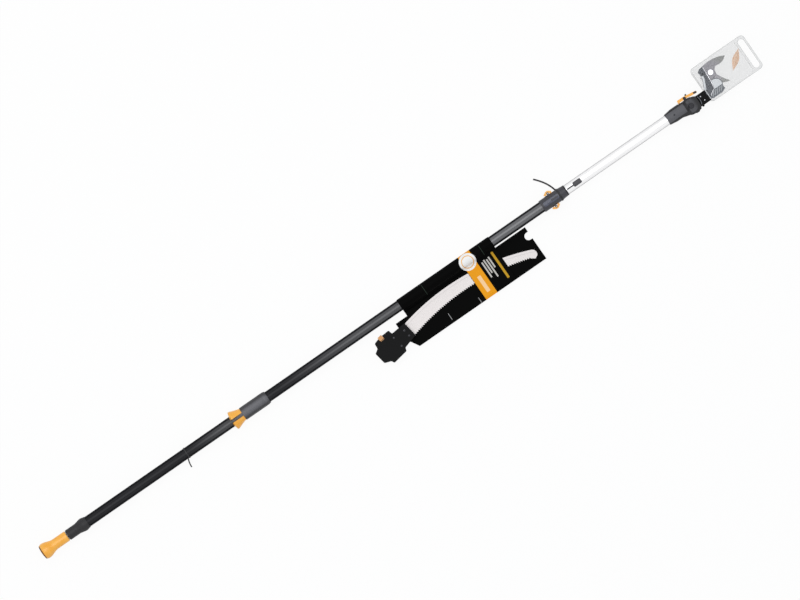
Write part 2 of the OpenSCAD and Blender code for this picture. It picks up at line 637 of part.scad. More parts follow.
module drum_cap() color("#dfe3e6") placed() slab(cover_z0 - 0.4, cover_z0 + 1.6) difference() {
    translate([drum_x, drum_y]) circle(17.4);
    translate([pivot_x, pivot_y]) circle(19.8);
    polygon(at_pivot([[-9, 27], [-12.8, -24], [-16.8, -43.5], [-37, -57.5], [-60, -40], [-40, 27]]));
    translate([drum_x - 30, cap_low - 40]) square([60, 40]);
}
module pivot_bolt() color("#d6d7da") placed() {
    rod_z(pivot_d / 2 - fit, back_z0 - 3, jaw_z1, pivot_x, pivot_y);
    rod_z(7.4, jaw_z1, jaw_z1 + 2.4, pivot_x, pivot_y);
    translate([pivot_x, pivot_y, back_z0 - 4]) cylinder(r = 7, h = 4, $fn = 6);
}
module pivot_spacer() color("#9a9a9c") placed() difference() {
    rod_z(7, back_z1, blade_z0 - 0.1, pivot_x, pivot_y);
    rod_z(pivot_d / 2, -40, 40, pivot_x, pivot_y);
}
module drum_pin() color("#9a9a9c") placed() rod_z(3 - fit, back_z0, cover_z0 - 0.4, drum_x, drum_y);
module head_screws() color("#9a9a9c") placed() {
    for (p = concat(screw_spots, [jaw_screw])) {
        top = p == screw_spots[0] ? tang_z1 : cover_z1;
        rod_z(2, back_z0, top, p[0], p[1]);
        rod_z(3.8, top, top + 1.4, p[0], p[1]);
    }
    difference() {
        rod_z(4.5, back_z1, jaw_z0, jaw_screw[0], jaw_screw[1]);
        rod_z(2, -40, 40, jaw_screw[0], jaw_screw[1]);
    }
}
module return_spring() color("#9a9a9c") placed() {
    for (i = [0:3]) difference() {
        rod_z(9.4, back_z1 + 0.4 + 2.2 * i, back_z1 + 2.2 + 2.2 * i, pivot_x, pivot_y);
        rod_z(7.6, -40, 40, pivot_x, pivot_y);
    }
    slab(back_z1 + 0.4, back_z1 + 9) translate([pivot_x + 7.8, pivot_y - 1]) square([1.4, 2]);
}

// Gear teeth with straight flanks and rounded room for the mating tips
pitch_a = 360 / sector_teeth;
function tooth(r, teeth, a, add, ded) = let (p = 360 / teeth, w = 0.44)
    [for (q = [[r - ded, 0.5 * w + 0.1], [r, 0.5 * w], [r + add, 0.22 * w]]) each [[q[0], q[1] * p]]];
function gear_side(r, teeth, a, add, ded) = concat(
    [for (q = tooth(r, teeth, a, add, ded)) q[0] * [cos(a - q[1]), sin(a - q[1])]],
    [for (i = [2:-1:0]) let (q = tooth(r, teeth, a, add, ded)[i]) q[0] * [cos(a + q[1]), sin(a + q[1])]]);
pinion_r = gear_module * pinion_teeth / 2;
sector_r = gear_module * sector_teeth / 2;
add = 0.85 * gear_module;
ded = 1.1 * gear_module;

module drum() color("#c9cbd0") placed() difference() {
    translate([drum_x, drum_y, 0]) {
        rod_z(drum_r, -5.2, 5.2);
        rod_z(drum_r + 1.6, -6.6, -5.2);
        rod_z(drum_r + 1.6, 5.2, 5.6);
        slab(5.6, blade_z1) polygon([for (i = [0:pinion_teeth - 1])
            each gear_side(pinion_r, pinion_teeth, mesh_angle - 180 + i * 360 / pinion_teeth, add, ded)]);
    }
    rod_z(3, -40, 40, drum_x, drum_y);
}

// Moving blade: a claw in front of the pivot and a toothed sector behind it
sector_count = 9;
claw_tip = [34.3, -50.2];
module cutter_blade() color("#a09da0") placed() difference() {
    slab(blade_z0, blade_z1) polygon(at_pivot(concat(
        [for (i = [1:-1:-sector_count], k = [5:-1:0])
            gear_side(sector_r, sector_teeth, mesh_angle + (i - 0.5) * pitch_a, add, ded)[k]],
        arc([0, 0], 14, 178, -20, 14), bow_arc([11.8, -13], claw_tip, -2, 8),
        [for (i = [1:8]) bow_arc(claw_tip, [-1, -30.5], 4.5, 8)[i]])));
    rod_z(pivot_d / 2, -40, 40, pivot_x, pivot_y);
}

// Strap from the crosshead, up the inner tube, over the roller and round the drum
module drive_strap() color("#3f4f7a") placed() slab(-strap_w / 2, strap_w / 2)
    strip(concat([[crosshead_x + 28.4, 0], [inner_end - 4, 0], [inner_end + 3, -0.8], [fork_x + 2, -3.6]],
        [[tilt_x - 14, strap_y + 3.6], [tilt_x - 5, strap_y + 0.5], [tilt_x, strap_y]]), strap_t);
module head_strap() color("#3f4f7a") placed() slab(-strap_w / 2, strap_w / 2)
    strip(concat([[tilt_x + 0.3, strap_y], [tilt_x + 10, strap_y]],
        arc([drum_x, drum_y], drum_r + strap_t / 2 + 0.15, -90, 150, 24)), strap_t);

// ---- Clear clamshell ----

flange_w = 5;
header_len = 33;
cavity = [shell_x + flange_w, shell_end - header_len, shell_y + flange_w, shell_top - flange_w];
slot = [shell_end - 25, shell_end - 7, shell_y + 8, shell_top - 10];
module shell_half(depth, neck_top, neck_side) difference() {
    union() {
        slab(0, shell_wall) round_rect(shell_x, shell_end, shell_y, shell_top, 13);
        slab(0, depth) round_rect(cavity[0], cavity[1], cavity[2], cavity[3], 10);
    }
    slab(-1, depth - shell_wall) round_rect(cavity[0] + shell_wall, cavity[1] - shell_wall,
        cavity[2] + shell_wall, cavity[3] - shell_wall, 10 - shell_wall);
    slab(-1, depth + 1) round_rect(slot[0], slot[1], slot[2], slot[3], 8.9);
    box(shell_x - 1, shell_x + flange_w + 3, tang_y0 - play, neck_side + play, -1, neck_top + play);
}
module clamshell_front() color("#e9ecee", 0.4) placed() shell_half(shell_rise, cover_z1 + 1.4, 17);
module clamshell_back() color("#e9ecee", 0.4) placed() mirror([0, 0, 1]) shell_half(axis_h, -back_z0, 10);

// ---- Cable ties ----

tie_t = 1.2;
module tie(x, r, w, tail) {
    pipe_x(r + tie_t, r, x - w / 2, x + w / 2);
    box(x - w / 2 - 0.6, x + w / 2 + 0.6, -2.4, 2.4, -r - tie_t - 2.6, -r - tie_t + 0.4);
    slab(-r - tie_t - 1.6, -r - tie_t - 0.4) strip(tail, w);
}
lower_tie_x = 503;
upper_tie_x = lock_x + 60.4;
upper_tie_r = lock_r + 0.02;
module tie_lower() color("#3a3a3c") placed()
    tie(lower_tie_x, pole_r + 0.02, 3.6,
        [for (i = [0:8]) let (u = i / 8) [lower_tie_x + 1 - 13 * (2 * u - u * u), -2 - 39.5 * u]]);
module tie_upper() color("#3a3a3c") placed()
    tie(upper_tie_x, upper_tie_r, 4.8,
        [for (i = [0:10]) let (u = i / 10) [upper_tie_x - 36 * u * u, 2 + 77 * u]]);

// ---- Card sleeve and sticker ----

card_z = -(pole_r + 0.9 + card_t / 2);
front_z = card_z + card_t;
card_x = saw_x - 23;
wrap_x = card_x + 40;
wrap_end = wrap_x + wrap_len;
band_len = 106;
band_x = wrap_end - band_len;
wrap_r = pole_r + 1.3 + card_t / 2;
blade_z = card_z + 1.25 + saw_t / 2 + card_t;
bridge_z = blade_z + saw_t / 2 + 0.6 + card_t / 2;
function wrap_line(z) = concat([[-6, card_z], [0, card_z], [0.8, card_z]],
    arc([0, 0], -card_z, -80, -10, 7), arc([0, 0], wrap_r, 0, 205, 18),
    [[-pole_r - 6, card_z + 7], [-pole_r - 9.5, z + 1], [-pole_r - 12, z]]);
module card_front(x0, x1, z) along_x(x0, x1) strip(concat(wrap_line(z),
    [[-card_drop + 8, z], [-card_drop + 5, (z + front_z) / 2], [-card_drop + 2, front_z - 0.2],
        [-card_drop, front_z - 0.2]]), card_t);
module card_sleeve() color("#0b0b0c") placed() {
    difference() {
        slab(card_z - card_t / 2, card_z + card_t / 2) polygon([[card_x, -37], [wrap_x, -37], [wrap_x, 0],
            [wrap_end, 0], [wrap_end, -20], [card_x + card_len, -20], [card_x + card_len, -card_drop],
            [card_x + 21, -card_drop], [card_x + 7, -card_drop + 24], [card_x, -card_drop + 30]]);
        slab(-40, 40) {
            translate([card_x + card_len - 6, -47]) circle(11.5);
            translate([card_x + card_len - 6, -58.5]) square([10, 23]);
            translate([card_x - 5, -80]) square([saw_x - card_x + 1, 27.4]);
            translate([saw_x, -saw_off]) rotate(head_angle)
                polygon([[-0.3, 21.3], [-1.2, -19], [-50, -24.6], [-50, 0]]);
        }
    }
    card_front(wrap_x, band_x, front_z - 0.1);
    card_front(band_x, wrap_end, bridge_z);
}
sticker_t = 0.3;
sticker_x = band_x + 17.5;
module round_sticker() color("#f4f4f2") placed() {
    line = concat(wrap_line(bridge_z), [[-45, bridge_z]]);
    intersection() {
        rod_z(sticker_r, -20, 40, sticker_x, -8.6);
        along_x(sticker_x - sticker_r, sticker_x + sticker_r)
            strip([for (i = [12:len(line) - 1]) side(line, i, -(card_t + sticker_t) / 2 - 0.02)], sticker_t);
    }
}

// ---- Saw ----

saw_angle = -4.2;
head_angle = 10;
saw_head_h = 2 * (axis_h + blade_z);
card_step = 1.6;
card_inset = 3.6;
module saw_frame() translate([saw_x, -saw_off + 22.8, blade_z]) rotate(saw_angle) children();
function bow_arc(p, q, bow, n) = let (m = (p + q) / 2, h = norm(q - p) / 2, r = (h * h + bow * bow) / (2 * bow),
    a = atan2(q[1] - p[1], q[0] - p[0]), half = asin(h / r), c = m + (bow - r) * [-sin(a), cos(a)])
    arc(c, r, a + 90 + half, a + 90 - half, n);
edge_a = [9, -43.8];
edge_b = [saw_len - 6.6, -23.4];
tooth_count = round(norm(edge_b - edge_a) / tooth_pitch);
edge_line = bow_arc(edge_b, edge_a, -saw_bow + 3.5, tooth_count);
function tooth_row(p, depth) = [for (i = [0:len(p) - 2]) let (d = (p[i + 1] - p[i]), n = [-d[1], d[0]] / norm(d))
    each [p[i], p[i] + 0.85 * d - depth * n]];
module saw_blade() color("#ebe7e6") placed() {
    difference() {
        saw_frame() slab(-saw_t / 2, saw_t / 2) polygon(concat([[-34, -12], [-3, -5]],
            bow_arc([0, 0], [saw_len, 0], saw_bow, 24),
            arc([saw_len + 1.5, -15.1], 14, 72, -40, 8), [[saw_len + 3.8, -29.2]],
            tooth_row(edge_line, tooth_depth), [edge_a, [-30, -48], [-34, -40]]));
        head_frame() for (p = saw_bolts) rod_z(3, -5, 5, p[0], p[1]);
    }
}
module head_frame() translate([saw_x, -saw_off, blade_z]) rotate(head_angle) children();
saw_mouth = -117.5;
module saw_head_outline() polygon(rounded([[saw_mouth, 20], [-103, 26], [-99, 42], [-78, 45], [-44, 41.5],
    [-43, 28], [3, 24.5], [2, -22], [-44, -27.5], [-48, -36.5], [-96.5, -36.5], [-99, -27], [saw_mouth, -17]], 3));
module saw_half() difference() {
    children();
    translate([saw_mouth - 1, 0.5, 0]) rotate([0, 90, 0]) cylinder(r = saw_bore_r, h = saw_bore_len + 1);
    slab(-saw_t / 2 - 0.02, saw_t / 2 + 0.02) translate([-44, -25]) square([50, 50]);
    slab(-6, 6) translate([button_u - 0.4, 26]) square([14.4, 24]);
    slab(-6, 40) translate([button_u - 0.4, 32.5]) square([14.4, 18]);
    for (p = saw_bolts) rod_z(3, -60, 60, p[0], p[1]);
}
button_u = -82;
saw_bolts = [[-12, 10], [-12, -10], [-48, 16], [-48, -16]];
module saw_head_upper() color("#2c2c2e") placed() head_frame() saw_half()
    slab(0, saw_head_h / 2) saw_head_outline();
module saw_head_lower() color("#2c2c2e") placed() head_frame() saw_half() {
    slab(-card_step, 0) saw_head_outline();
    slab(-saw_head_h / 2, -card_step) offset(delta = -card_inset) saw_head_outline();
}
module saw_screws() color("#9a9a9c") placed() head_frame() for (p = saw_bolts)
    rod_z(2.95, -saw_head_h / 2 + 1, saw_head_h / 2 - 0.6, p[0], p[1]);
module saw_button() color("#d99a55") placed() head_frame() translate([button_u, 0, 0]) {
    slab(-5.6, 5.6) round_rect(0, 13.6, 29.4, 48, 1.5);
    slab(-5.6, saw_head_h / 2 - 0.5) round_rect(0, 13.6, 36, 48, 1.5);
}

outer_tube();
end_ferrule();
ferrule_bush();
ferrule_screws();
lock_collar();
lock_end_ring();
lock_panel();
lock_bush();
lock_pins();
lock_springs();
tie_lower();
tie_upper();
card_sleeve();
round_sticker();
pull_knob();
knob_pin();
pull_rod();
crosshead();
strap_pin();
pull_bar();
shuttle();
shuttle_screws();
handle_sleeve();
handle_flare();
inner_tube();
tail_plug();
stop_tab();
head_socket();
socket_rivets();
tilt_bolt();
tilt_nut();
guide_roller();
lever_pin();
drive_strap();
tilt_lever();
lever_stud();
lock_lever_left();
lock_lever_right();
neck();
back_plate();
cover_plate();
drum_cover();
drum_cap();
hook_jaw();
pivot_bolt();
pivot_spacer();
drum_pin();
head_screws();
return_spring();
head_strap();
clamshell_front();
clamshell_back();
drum();
cutter_blade();
saw_blade();
saw_head_upper();
saw_head_lower();
saw_screws();
saw_button();
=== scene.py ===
"""A telescoping pole pruner with a clip-on saw in a card sleeve, laid flat as it is sold."""

import math

import bmesh
import bpy
from mathutils import Matrix, Vector


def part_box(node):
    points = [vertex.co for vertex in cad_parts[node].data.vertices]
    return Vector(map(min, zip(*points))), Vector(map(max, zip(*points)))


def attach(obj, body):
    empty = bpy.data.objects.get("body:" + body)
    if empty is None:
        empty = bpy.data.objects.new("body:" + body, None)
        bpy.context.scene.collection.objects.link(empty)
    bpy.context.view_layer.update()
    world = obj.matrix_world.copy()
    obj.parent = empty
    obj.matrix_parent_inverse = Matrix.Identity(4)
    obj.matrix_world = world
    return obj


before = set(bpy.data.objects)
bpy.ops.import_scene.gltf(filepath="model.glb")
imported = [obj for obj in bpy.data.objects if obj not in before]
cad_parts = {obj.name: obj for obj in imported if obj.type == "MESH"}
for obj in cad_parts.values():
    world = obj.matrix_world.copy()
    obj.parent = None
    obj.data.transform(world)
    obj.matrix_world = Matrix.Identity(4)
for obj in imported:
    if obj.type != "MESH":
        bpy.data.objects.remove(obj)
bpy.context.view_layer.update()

# ---- Floor, daylight and camera ----
# A white sweep under a large soft lamp. Whatever looks straight at the room sees plain white.


def add(tree, kind, sockets=None, **settings):
    """A new node with its settings. Each socket takes a value or another node's output."""
    made = tree.nodes.new(kind)
    for name, value in settings.items():
        setattr(made, name, value)
    for name, value in (sockets or {}).items():
        if isinstance(value, bpy.types.NodeSocket):
            tree.links.new(value, made.inputs[name])
        else:
            made.inputs[name].default_value = value
    return made


def maths(tree, operation, a, b=0.0, c=0.0):
    """The result of one sum on numbers or outputs."""
    return add(tree, "ShaderNodeMath", {0: a, 1: b, 2: c}, operation=operation).outputs[0]


def seen_by_eye(tree):
    """1 for a ray that ends at the eye, straight, by reflection or through something clear."""
    path = add(tree, "ShaderNodeLightPath").outputs
    mirrored = maths(tree, "MAXIMUM", path["Is Camera Ray"], path["Is Glossy Ray"])
    return maths(tree, "MAXIMUM", mirrored, path["Is Transmission Ray"])


white = (1, 1, 1, 1)
daylight_colour = (0.94, 0.97, 1.0, 1)
daylight_strength = 0.58
scene = bpy.context.scene
scene.view_settings.view_transform = "Standard"
scene.world = bpy.data.worlds.new("white room")
scene.world.use_nodes = True
room = scene.world.node_tree
room.nodes.clear()
daylight = add(room, "ShaderNodeBackground",
               {"Color": daylight_colour, "Strength": daylight_strength})
backdrop = add(room, "ShaderNodeBackground", {"Color": white, "Strength": 1.0})
both = add(room, "ShaderNodeMixShader",
           {0: seen_by_eye(room), 1: daylight.outputs[0], 2: backdrop.outputs[0]})
add(room, "ShaderNodeOutputWorld", {"Surface": both.outputs[0]})

lamp_size = 4.2
lamp_watts = 118
lamp_place = Vector((-0.5, 1.1, 4.9))
lamp_data = bpy.data.lights.new("soft box", "AREA")
lamp_data.size = lamp_size
lamp_data.energy = lamp_watts
lamp = bpy.data.objects.new("soft_box", lamp_data)
lamp.location = lamp_place
lamp.rotation_euler = lamp_place.to_track_quat("Z", "Y").to_euler()
scene.collection.objects.link(lamp)

floor_size = 16.0
floor_drop = 0.0004
paper_colour = (0.93, 0.93, 0.93, 1)
paper_roughness = 0.9
plain_share = 0.93
sweep = bmesh.new()
bmesh.ops.create_grid(sweep, x_segments=2, y_segments=2, size=floor_size / 2)
bmesh.ops.translate(sweep, vec=(0, 0, -floor_drop), verts=sweep.verts)
floor = bpy.data.objects.new("floor", bpy.data.meshes.new("floor"))
sweep.to_mesh(floor.data)
sweep.free()
scene.collection.objects.link(floor)
paper = bpy.data.materials.new("white background paper")
paper.use_nodes = True
pulp = paper.node_tree
matt = pulp.nodes["Principled BSDF"]
matt.inputs["Base Color"].default_value = paper_colour
matt.inputs["Roughness"].default_value = paper_roughness
glow = add(pulp, "ShaderNodeEmission", {"Color": white, "Strength": 1.0})
share = maths(pulp, "MULTIPLY", seen_by_eye(pulp), plain_share)
lit = add(pulp, "ShaderNodeMixShader", {0: share, 1: matt.outputs[0], 2: glow.outputs[0]})
pulp.links.new(lit.outputs[0], pulp.nodes["Material Output"].inputs["Surface"])
floor.data.materials.append(paper)

camera_place = (0.00845, 0.0357, 12.717)
camera_turn = -34.72
camera_data = bpy.data.cameras.new("camera")
camera_data.lens = 200
camera_data.sensor_width = 36
camera_data.clip_end = 100
camera = bpy.data.objects.new("camera", camera_data)
camera.location = camera_place
camera.rotation_euler = (0, 0, math.radians(camera_turn))
scene.collection.objects.link(camera)
scene.camera = camera

# ---- Outer tube ----
# Extruded aluminium with ten grip flutes, anodised black. The crests on its upper side carry a
# painted highlight, most towards the telescope lock, and not where the handle parks.

tube_low, tube_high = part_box("outer_tube")
knob_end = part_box("pull_knob")[0].x
axis = Vector((knob_end, (tube_low.y + tube_high.y) / 2, (tube_low.z + tube_high.z) / 2))
tube_r = 1000 * (tube_high.y - tube_low.y) / 2


def linear(colour):
    """An sRGB hex colour as the linear values that the renderer works in."""
    parts = [int(colour[i : i + 2], 16) / 255 for i in (1, 3, 5)]
    return (*[p / 12.92 if p <= 0.04045 else ((p + 0.055) / 1.055) ** 2.4 for p in parts], 1)


def finish(name, low, high, size, stretch=(1, 1, 1), bump=0.0, rough=(0.4, 0.5), **plain):
    """A real material: two close colours in a pattern of the given size in mm, with its bump in
    mm. Returns the material, its nodes, places in mm from the knob's end on the pole's axis, and
    the colour."""
    made = bpy.data.materials.new(name)
    made.use_nodes = True
    tree = made.node_tree
    shader = tree.nodes["Principled BSDF"]
    for socket, value in plain.items():
        shader.inputs[socket.replace("_", " ")].default_value = value
    spot = add(tree, "ShaderNodeTexCoord").outputs["Object"]
    in_mm = {"Vector": spot, "Scale": (1000, 1000, 1000), "Location": -1000 * axis}
    place = add(tree, "ShaderNodeMapping", in_mm).outputs[0]
    drawn = add(tree, "ShaderNodeVectorMath", {0: place, 1: stretch}, operation="MULTIPLY")
    grain = {"Vector": drawn.outputs[0], "Scale": 1 / size, "Detail": 3.0}
    noise = add(tree, "ShaderNodeTexNoise", grain)
    clearer = {"Value": noise.outputs["Fac"], "From Min": 0.3, "From Max": 0.7}
    spread = add(tree, "ShaderNodeMapRange", clearer).outputs[0]
    shades = {0: spread, 6: linear(low), 7: linear(high)}
    colour = add(tree, "ShaderNodeMix", shades, data_type="RGBA").outputs[2]
    dull = {"Value": spread, "To Min": rough[0], "To Max": rough[1]}
    tree.links.new(colour, shader.inputs["Base Color"])
    tree.links.new(add(tree, "ShaderNodeMapRange", dull).outputs[0], shader.inputs["Roughness"])
    if bump:
        relief = add(tree, "ShaderNodeBump", {"Height": spread, "Distance": bump / 1000})
        tree.links.new(relief.outputs[0], shader.inputs["Normal"])
    made.diffuse_color = linear(high)
    return made, tree, place, colour


def overprint(tree, mask, ink, under):
    """Lays an ink over the colour under it where the mask is 1, and gives that to the shader."""
    shades = {0: mask, 6: under, 7: linear(ink)}
    result = add(tree, "ShaderNodeMix", shades, data_type="RGBA").outputs[2]
    tree.links.new(result, tree.nodes["Principled BSDF"].inputs["Base Color"])
    return result


def ramp(tree, value, low, high, to_low=0.0, to_high=1.0):
    """How far a value is from low to high, held within its two ends."""
    sockets = {"Value": value, "From Min": low, "From Max": high,
               "To Min": to_low, "To Max": to_high}
    return add(tree, "ShaderNodeMapRange", sockets, interpolation_type="SMOOTHSTEP").outputs[0]


def both_of(tree, a, b):
    """The overlap of two masks, or a mask at a part of its strength."""
    return maths(tree, "MULTIPLY", a, b)


def three_ways(tree, place):
    """A place's distances along, across and above the pole's axis."""
    return add(tree, "ShaderNodeSeparateXYZ", {0: place}).outputs


def dress(material, *names):
    """Gives CAD nodes their real finish."""
    for name in names:
        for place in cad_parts[name].material_slots:
            place.material = material


anodised, tree, place, colour = finish(
    "black anodised aluminium", "#141416", "#222225", 1.6, (0.01, 1, 1), bump=0.006,
    rough=(0.34, 0.48), Metallic=0.3, Specular_Tint=(0.05, 0.05, 0.055, 1),
    Specular_IOR_Level=0.05)
flutes = 10
highlight_from, highlight_to = 500, 650
handle_from, handle_to = 720, 800
mid_pole, lock_end = 1150, 1700
x, y, z = three_ways(tree, place)
wave = maths(tree, "COSINE", maths(tree, "MULTIPLY", maths(tree, "ARCTAN2", z, y), flutes))
crest = ramp(tree, wave, 0.25, -0.75, 0.72, 1)
upper = ramp(tree, z, 0.65 * tube_r, 0.94 * tube_r)
below_handle = both_of(tree, ramp(tree, x, highlight_from, highlight_to, 0, 0.25),
                       maths(tree, "LESS_THAN", x, handle_from))
above_handle = maths(tree, "ADD", ramp(tree, x, handle_to, mid_pole, 0.08, 0.42),
                     ramp(tree, x, mid_pole, lock_end, 0, 0.35))
highlight_along = maths(tree, "ADD", below_handle, above_handle)
# Painted highlight: the crests of the upper side are lightened along the pole.
overprint(tree, both_of(tree, both_of(tree, crest, upper), highlight_along), "#8e8e90", colour)
dress(anodised, "outer_tube")

# ---- End ferrule ----
# Glass-filled nylon, moulded black, pushed over the tube's end and held by two small screws.
# The fibres near the skin give it a fine matt grain.

nylon, *_ = finish("black glass-filled nylon", "#151517", "#242427", 0.9, bump=0.04,
                   rough=(0.5, 0.66), Specular_IOR_Level=0.4)
acetal, *_ = finish("natural acetal", "#cfcabd", "#e2ded3", 4, bump=0.004, rough=(0.3, 0.4))
zinc, *_ = finish("zinc-plated steel", "#8d8e93", "#b9babf", 0.7, bump=0.006, rough=(0.28, 0.42),
                  Metallic=1.0)
dress(nylon, "end_ferrule")
dress(acetal, "ferrule_bush")
dress(zinc, "ferrule_screws")
hair = 1e-6  # metres within which two corners are one


def on_pole(x, y=0.0, z=0.0):
    """A place in metres from millimetres along, across and above the pole's axis."""
    return axis + Vector((x, y, z)) / 1000


def finished(name, mesh, material, body, smooth=35):
    """Turns a bmesh into a named piece that rides on a body."""
    bmesh.ops.remove_doubles(mesh, verts=mesh.verts, dist=hair)
    bmesh.ops.recalc_face_normals(mesh, faces=mesh.faces)
    for face in mesh.faces:
        face.smooth = True
    for edge in mesh.edges:
        edge.smooth = edge.is_manifold and edge.calc_face_angle(0) < math.radians(smooth)
    data = bpy.data.meshes.new(name)
    mesh.to_mesh(data)
    mesh.free()
    piece = bpy.data.objects.new(name, data)
    scene.collection.objects.link(piece)
    data.materials.append(material)
    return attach(piece, body)


def turned(name, section, material, body):
    """A ring about the pole's axis from its section's points along and out from the axis, in mm."""
    mesh = bmesh.new()
    corners = [mesh.verts.new(on_pole(along, 0, out)) for along, out in section]
    rim = [mesh.edges.new((corners[i - 1], corners[i])) for i in range(len(corners))]
    bmesh.ops.spin(mesh, geom=corners + rim, cent=axis, axis=(1, 0, 0), angle=2 * math.pi, steps=96,
                   use_merge=True)
    return finished(name, mesh, material, body)


def hoop(along, out, foot, crown, rise):
    """The section of a raised ring: half widths of its foot and crown, and its rise, in mm."""
    sunk = 0.3
    return [(along - foot, out - sunk), (along - crown, out + rise),
            (along + crown, out + rise), (along + foot, out - sunk)]


for i, along in enumerate((99.5, 117)):
    turned(f"ferrule_ring_{i + 1}", hoop(along, tube_r, 0.5, 0.35, 0.1), nylon, "outer_pole")

# ---- Pull knob ----
# ABS moulded in glossy orange, cross-pinned to the rod. A dark red-brown ring round the rim of its
# rounded end is painted shade.

abs_orange, *_ = finish("glossy orange ABS", "#f9aa2d", "#feb94a", 26, bump=0.02,
                        rough=(0.22, 0.3), IOR=1.53)
rim_shade, *_ = finish("dark red-brown painted rim shade", "#4a2415", "#5e2f1b", 1.2, bump=0.03,
                    rough=(0.6, 0.75))
dress(abs_orange, "pull_knob", "handle_flare", "lock_lever_left", "lock_lever_right", "tilt_lever")
dress(zinc, "knob_pin", "strap_pin", "lock_pins", "drum_pin")


def from_axis(corners):
    """A box's two corners in mm from the knob's end on the pole's axis."""
    return [(corner - axis) * 1000 for corner in corners]


low, high = from_axis(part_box("pull_knob"))
knob_r = (high.y - low.y) / 2
# Painted shade: a dark ring round the rim of the knob's rounded end.
end_shade_ring = [(3.2, knob_r - 5.2), (2.5, knob_r - 4.3), (4.4, knob_r - 2.2), (5.6, knob_r - 2.6)]
turned("knob_end_shade_ring", end_shade_ring, rim_shade, "pull_gear")

# ---- Rod, crosshead and pull bar ----
# A drawn steel rod joins the knob to a nylon crosshead in the tube, and a flat steel bar in the
# keyway joins that to the shuttle under the sliding handle.

drawn_steel, *_ = finish("bright drawn steel", "#96979b", "#c3c4c8", 0.8, (0.03, 1, 1), bump=0.006,
                         rough=(0.24, 0.38), Metallic=1.0)
grey_nylon, *_ = finish("grey glass-filled nylon", "#323236", "#47474c", 0.9, bump=0.04,
                        rough=(0.45, 0.6))
dress(drawn_steel, "pull_rod", "pull_bar")
dress(grey_nylon, "crosshead", "shuttle")

# ---- Sliding handle ----
# A soft-touch black sleeve with an orange flare in front of it, screwed to the shuttle from below.
# The sleeve's upper side carries a painted highlight.

soft_touch, tree, place, colour = finish("soft-touch black elastomer", "#232326", "#333337", 1.4,
                                         bump=0.05, rough=(0.45, 0.58))
low, high = from_axis(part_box("handle_sleeve"))
sleeve_r = (high.y - low.y) / 2
ring_inset, ring_pitch = 15, 3.2
x, y, z = three_ways(tree, place)
# Painted highlight: the sleeve is lightened towards its top.
overprint(tree, ramp(tree, z, 0.7 * sleeve_r, sleeve_r, 0, 0.45), "#808086", colour)
dress(soft_touch, "handle_sleeve")
dress(zinc, "shuttle_screws")
for i in range(3):
    along = high.x - ring_inset - ring_pitch * i
    turned(f"sleeve_grip_ring_{i + 1}", hoop(along, sleeve_r, 0.9, 0.4, 0.35), soft_touch,
           "pull_gear")

# ---- Inner tube ----
# Drawn aluminium, clear anodised. The die leaves fine lines along it, and its edges look grey
# because bare metal dulls when it is seen nearly edge on.

silver, *_ = finish("clear anodised aluminium", "#ececed", "#fafafb", 1.1, (0.008, 1, 1),
                    bump=0.004, rough=(0.22, 0.34), Metallic=1.0,
                    Specular_Tint=(0.06, 0.06, 0.07, 1))
dress(silver, "inner_tube")
dress(acetal, "tail_plug")
dress(grey_nylon, "stop_tab")

# ---- Telescope lock ----
# Nylon collar clamped on the outer tube. Two orange levers on pins press a nose against the
# inner tube under small springs. A blue-grey insert with a sight slot is glued in its top.

collar_grey, *_ = finish("charcoal nylon", "#29292f", "#3c3c43", 0.9, (0.3, 1, 1), bump=0.03,
                         rough=(0.38, 0.5))
insert_grey, *_ = finish("satin blue-grey polycarbonate", "#3f424d", "#525567", 5, bump=0.006,
                         rough=(0.26, 0.34))
dress(collar_grey, "lock_collar")
dress(nylon, "lock_end_ring")
dress(insert_grey, "lock_panel")
dress(acetal, "lock_bush")
dress(zinc, "lock_springs")


def block(name, low, high, edge, material, body):
    """A small moulded block between two corners in mm, with its edges rounded."""
    mesh = bmesh.new()
    bmesh.ops.create_cube(mesh, size=1)
    low, high = on_pole(*low), on_pole(*high)
    spot = Matrix.Translation((low + high) / 2) @ Matrix.Diagonal((*(high - low), 1))
    bmesh.ops.transform(mesh, matrix=spot, verts=mesh.verts)
    bmesh.ops.bevel(mesh, geom=mesh.edges, offset=edge / 1000, segments=2, affect="EDGES",
                    profile=0.5, material=-1)
    return finished(name, mesh, material, body)


grip_start, grip_pitch, grip_half, grip_tall = -1.4, 2.2, 0.45, 4.6
for side, name in ((1, "left"), (-1, "right")):
    low, high = from_axis(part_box(f"lock_lever_{name}"))
    crown = max(abs(low.y), abs(high.y))
    near, far = sorted((side * (crown - 0.5), side * (crown + 0.25)))
    for i in range(3):
        along = (low.x + high.x) / 2 + grip_start + grip_pitch * i
        block(f"lever_grip_{name}_{i + 1}", (along - grip_half, near, -grip_tall),
              (along + grip_half, far, grip_tall), 0.25, abs_orange, f"lock_lever_{name}")

# ---- Head socket and tilt joint ----
# Black nylon with a grey inlay on its barrel, riveted on the inner tube. Its two cheeks carry the
# tilt bolt, with a painted highlight on the cheek round it, and the orange thumb lever on its side
# locks the tilted head by its finger.

tilt_x, tilt_y = 2250, -5.7
barrel_side, barrel_end = (14.2, 12.4), (2234, 2231)
cheek_rim, cheek_back, cheek_front = (20.5, 19), (2239, 2243), (2272, 2254)
socket_grey, tree, place, colour = finish("black nylon with a grey inlay and painted cheek highlight", "#161618", "#232326", 1.1,
                                          bump=0.05, rough=(0.45, 0.6), Specular_IOR_Level=0.3)


def from_upright(tree, place, x, y):
    """How far a place is from an upright line through a bolt or a bow's centre, in mm."""
    offset = add(tree, "ShaderNodeVectorMath", {0: place, 1: (x, y, 0)}, operation="SUBTRACT")
    level = {0: offset.outputs[0], 1: (1, 1, 0)}
    flat = add(tree, "ShaderNodeVectorMath", level, operation="MULTIPLY").outputs[0]
    return add(tree, "ShaderNodeVectorMath", {0: flat}, operation="LENGTH").outputs["Value"]


